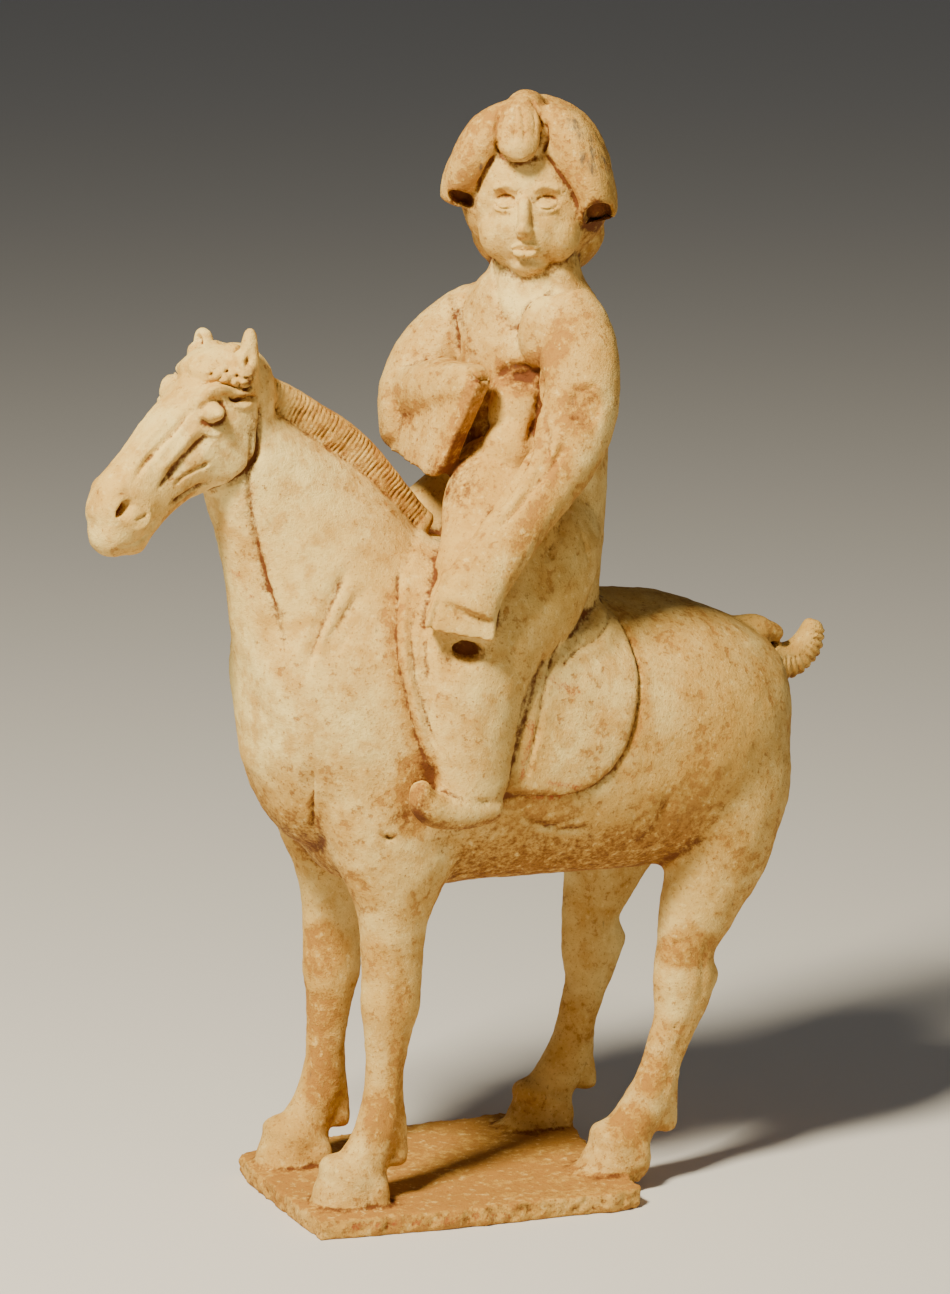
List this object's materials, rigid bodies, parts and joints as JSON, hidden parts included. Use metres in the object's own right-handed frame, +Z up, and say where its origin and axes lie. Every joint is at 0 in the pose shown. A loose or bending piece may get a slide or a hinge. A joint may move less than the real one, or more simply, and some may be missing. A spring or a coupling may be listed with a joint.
{
  "type": "pottery tomb figurine",
  "caption": "Pottery tomb figurine of a court lady riding a standing horse on a thin slab, slip-coated clay fired as one piece.",
  "frame": {"origin": "middle of the slab's underside", "axes": "+Z up along the figure's height; the horse faces -Y and its left side is +X"},
  "size_m": [0.1701, 0.3986, 0.5503],
  "materials": {
    "slipped_pottery": "matt cream slip worn to ochre clay"
  },
  "bodies": {
    "root": {"equestrienne": "slipped_pottery"}
  },
  "joints": []
}
